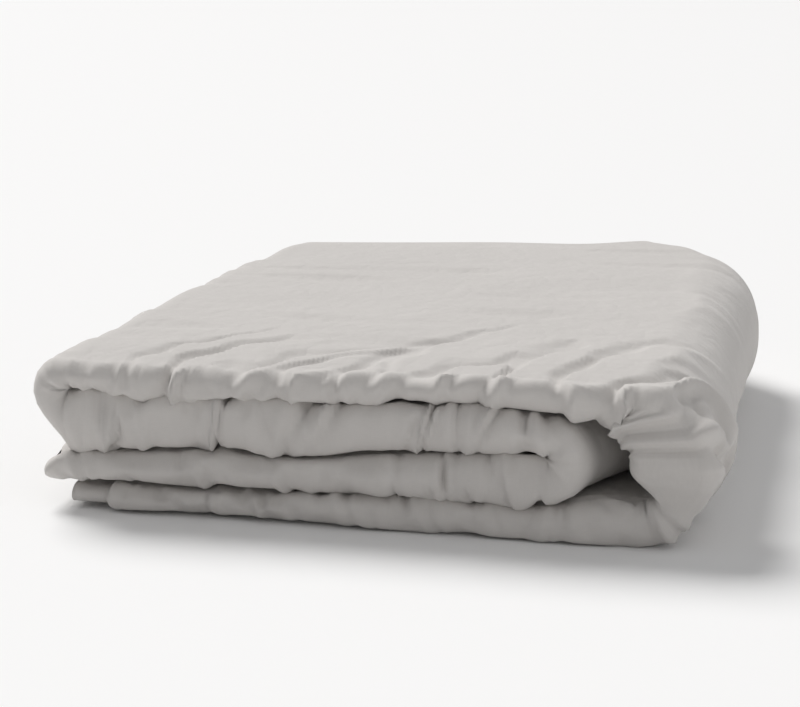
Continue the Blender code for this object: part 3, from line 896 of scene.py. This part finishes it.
def woven(name, colour, thread, crumple, mapped=True, sheen=0.2):
    """Plain-weave cloth: weft over warp, uneven threads, and a crumple of soft small creases."""
    material, shader, place = new_finish(name, 0.88, mapped)
    u, v, w = place.parts()
    turns = 2 * math.pi / thread
    weave = (u * turns).sine() * (v * turns).sine()
    warp = place.stretched(3500.0, 130.0).noise(1.0, 1.0)
    weft = place.stretched(130.0, 3500.0).noise(1.0, 1.0)
    slub = warp * 0.5 + weft * 0.5
    soft = place.noise(16.0, 2.0)
    fine = place.stretched(60.0, 95.0).noise(1.0, 3.0, 0.55)
    ridges = 1.0 - place.stretched(34.0, 20.0).noise(1.0, 2.0).size() * 2.2
    height = weave * 0.035 + slub * 0.02 + fine * 0.40 * crumple + ridges * 0.75 * crumple
    tone = place.noise(5.0, 2.0) * 0.22 + soft * 0.13 + slub * 0.45 + weave * 0.10 + 0.5
    dress(
        shader,
        place,
        colour=tone.tinted(shade(colour, 0.93), shade(colour, 1.06)),
        height=height,
        roughness=slub * 0.05 + 0.88,
    )
    shader.inputs["Sheen Weight"].default_value = sheen
    shader.inputs["Sheen Roughness"].default_value = 0.5
    shader.inputs["Specular IOR Level"].default_value = 0.25
    return material


def fibre(name, colour):
    """Carded hollow fibre: fine hairs in every direction over soft clumps."""
    material, shader, place = new_finish(name, 1.0, True)
    hairs = place.stretched(260.0, 1900.0).noise(1.0, 3.0) + place.stretched(1500.0, 340.0).noise(1.0, 3.0)
    clumps = place.noise(45.0, 3.0)
    colour = (clumps * 0.3 + hairs * 0.12 + 0.5).tinted(shade(colour, 0.90), shade(colour, 1.03))
    dress(shader, place, colour=colour, height=hairs * 0.12 + clumps * 0.7)
    return material


def twill(name, colour, rib, roughness=0.85):
    """Diagonal ribs, for tape, piping and twisted thread."""
    material, shader, place = new_finish(name, roughness, False)
    x, y, z = place.parts()
    ribs = ((x + y + z) * (2 * math.pi / rib)).sine()
    uneven = place.noise(900.0, 2.0)
    colour = (ribs * 0.25 + uneven * 0.2 + 0.5).tinted(shade(colour, 0.86), shade(colour, 1.05))
    dress(shader, place, colour=colour, height=ribs * 0.05 + uneven * 0.03)
    return material


def plastic(name, colour):
    """Moulded button plastic with a faint pearly cloud and fine handling marks."""
    material, shader, place = new_finish(name, 0.34, False)
    cloud = place.stretched(120.0, 120.0, 300.0).noise(1.0, 3.0)
    marks = place.stretched(2500.0, 300.0, 300.0).noise(1.0, 2.0)
    colour = (cloud * 0.4 + 0.5).tinted(shade(colour, 0.92), shade(colour, 1.06))
    dress(shader, place, colour=colour, height=marks * 0.004, roughness=marks * 0.06 + 0.33)
    shader.inputs["Coat Weight"].default_value = 0.25
    return material


COTTON_GREY = (0.625, 0.600, 0.577)
finishes = {
    "cover": woven("washed_cotton", COTTON_GREY, 0.55 * MM, 1.0),
    "hem": woven("pressed_cotton", shade(COTTON_GREY, 0.98), 0.55 * MM, 0.35),
    "casing": woven("downproof_cotton", (0.86, 0.85, 0.82), 0.4 * MM, 0.6),
    "batting": fibre("hollow_fibre_fill", (0.92, 0.92, 0.90)),
    "insert": twill("piping_twill", (0.83, 0.82, 0.79), 1.0 * MM),
    "tape": twill("cotton_twill_tape", (0.84, 0.82, 0.79), 0.8 * MM),
    "button": plastic("pearl_plastic", (0.74, 0.72, 0.69)),
    "thread": twill("twisted_thread", (0.60, 0.58, 0.56), 0.5 * MM, 0.75),
    "label": twill("woven_satin", (0.90, 0.90, 0.88), 0.3 * MM, 0.5),
}

# %% [markdown]
# ## Joining the pieces to the frame
#
# Each cloth takes the place of its CAD solids. The bottom stretch rides the lower half. For the top and
# tucked stretches a share of the book fold's turn is worked out along the cloth: it grows evenly round the
# big fold and fades again round the inner fold. Nothing applies that share, and these stretches are joined
# to neither half.

# %% Materials on the pieces
def dressed_in(obj, finish):
    obj.data.materials.clear()
    obj.data.materials.append(finishes[finish])


SMALL_PARTS = (
    ("shank", "thread"),
    ("button", "button"),
    ("loop", "tape"),
    ("tie", "tape"),
    ("label", "label"),
)
for (part, _), piece in pieces.items():
    kind = part.split("_")[0]
    dressed_in(piece, {"foot": "hem"}.get(kind, kind))
dressed_in(stitches, "thread")
for name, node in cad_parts.items():
    for word, finish in SMALL_PARTS:
        if word in name:
            dressed_in(node, finish)
            break

# %% Bodies, shares of the turn and what each piece replaces
def turn_share(u):
    """How much of the book fold's turn a flat point takes: none, growing, all, fading, none."""
    return np.clip((u - U_OUTER) / (U_TOP - U_OUTER), 0, 1) - np.clip(
        (u - U_INNER) / (U_TUCKED - U_INNER), 0, 1
    )


def share_turn(piece, u):
    """Bakes a piece in place and works out its share of the turn from its own flat places; the share is
    not applied.
    """
    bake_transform(piece)
    shares = np.ascontiguousarray(turn_share(u), np.float32)


def flat_u(piece):
    """Each point's u, read back from the piece's map."""
    mesh = piece.data
    corners = np.empty(len(mesh.loops), np.int32)
    mesh.loops.foreach_get("vertex_index", corners)
    places = np.empty(2 * len(mesh.loops), np.float32)
    mesh.uv_layers["flat"].data.foreach_get("uv", places)
    u = np.zeros(len(mesh.vertices))
    u[corners] = places[::2]
    return u


def nearest_u(piece, route):
    """Each point's u for a tube: that of the nearest point of its route."""
    u, v, w = (np.array(part) for part in zip(*route))
    points = np.empty(3 * len(piece.data.vertices), np.float32)
    piece.data.vertices.foreach_get("co", points)
    away = np.linalg.norm(points.reshape(-1, 1, 3) - fold(u, v, w)[None], axis=2)
    return u[away.argmin(axis=1)]


BENDING = {"top", "tucked"}
for (part, stretch), piece in pieces.items():
    if part == "insert_piping" and stretch != "bottom":
        share_turn(piece, nearest_u(piece, piping_routes[stretch]))
    elif stretch in BENDING:
        share_turn(piece, flat_u(piece))
    else:
        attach(piece, "lower_half")
    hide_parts(f"{part}_{stretch}" if stretch else part)
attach(stitches, "lower_half")

# %% [markdown]
# The last lines work out the widths the cover and the casing were cut to and the ends of each stretch
# along the cloth, and print the widths.

# %% Cut sizes
COVER_CUT, CASING_CUT = 2 * (V_SIDE + HALF), 2 * INSERT_V
CUT_ENDS = {"bottom": (-HALF, U_OUTER), "top": (U_OUTER, U_SECOND), "tucked": (U_SECOND, U_HEAD + HALF)}
for (part, stretch), piece in pieces.items():
    if part == "batting":
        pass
    elif part.startswith("foot_hem"):
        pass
    elif part.startswith(("cover", "casing")):
        first, last = CUT_ENDS[stretch]
        last - first
print(f"cover cut {COVER_CUT:.3f} m wide, casing cut {CASING_CUT:.3f} m wide")


# %% [markdown]
# ## Studio
#
# A plain pale floor under a large soft light that stands high behind the stack, on the left, so
# the top is bright and the folded fronts fall into soft shade. A weak light on the right lifts
# the shade of the big fold. The camera stands low at the front and a little to the right.

# %% Camera, lights and floor
CAMERA_PLACE = (0.355, -1.811, 0.414)
CAMERA_TURN, CAMERA_DIP, CAMERA_ROLL = 0.2208, 0.1866, 0.0102
LENS = 92.2


def look(turn, dip, roll):
    """A camera's axes: turned from +Y towards -X, dipped below the horizon, rolled about its view."""
    forward = Vector((-math.sin(turn) * math.cos(dip), math.cos(turn) * math.cos(dip), -math.sin(dip)))
    right = Vector((math.cos(turn), math.sin(turn), 0.0))
    up = right.cross(forward)
    side = right * math.cos(roll) + up * math.sin(roll)
    return Matrix((side, side.cross(forward), -forward)).transposed().to_4x4()


camera = bpy.data.objects.new("camera", bpy.data.cameras.new("camera"))
camera.data.lens = LENS
camera.data.sensor_width = 36.0
camera.matrix_world = Matrix.Translation(CAMERA_PLACE) @ look(CAMERA_TURN, CAMERA_DIP, CAMERA_ROLL)
bpy.context.scene.collection.objects.link(camera)
bpy.context.scene.camera = camera


def soft_sun(name, place, strength, spread, tint=(1.0, 1.0, 1.0)):
    """A wide, even light that shines from a direction onto the stack."""
    light = bpy.data.lights.new(name, "SUN")
    light.energy = strength
    light.angle = math.radians(spread)
    light.color = tint
    obj = bpy.data.objects.new(name, light)
    obj.rotation_euler = Vector(place).to_track_quat("Z", "Y").to_euler()
    bpy.context.scene.collection.objects.link(obj)
    return obj


soft_sun("key", (-0.8, 0.75, 1.1), 2.75, 30, (1.0, 0.99, 0.98))
soft_sun("fill", (1.0, -0.3, 0.7), 0.42, 90)
world = bpy.data.worlds.new("studio")
world.use_nodes = True
world.node_tree.nodes["Background"].inputs["Color"].default_value = (0.93, 0.93, 0.935, 1)
world.node_tree.nodes["Background"].inputs["Strength"].default_value = 0.34
bpy.context.scene.world = world
bpy.context.scene.view_settings.view_transform = "Standard"

floor_mesh = bpy.data.meshes.new("floor")
floor_mesh.from_pydata([(-90, -90, 0), (90, -90, 0), (90, 90, 0), (-90, 90, 0)], [], [(0, 1, 2, 3)])
floor = bpy.data.objects.new("floor", floor_mesh)
floor.location.z = -0.5 * MM
bpy.context.scene.collection.objects.link(floor)
pale = bpy.data.materials.new("pale_floor")
pale.use_nodes = True
pale.node_tree.nodes["Principled BSDF"].inputs["Base Color"].default_value = (0.92, 0.92, 0.92, 1)
pale.node_tree.nodes["Principled BSDF"].inputs["Roughness"].default_value = 0.9
floor.data.materials.append(pale)
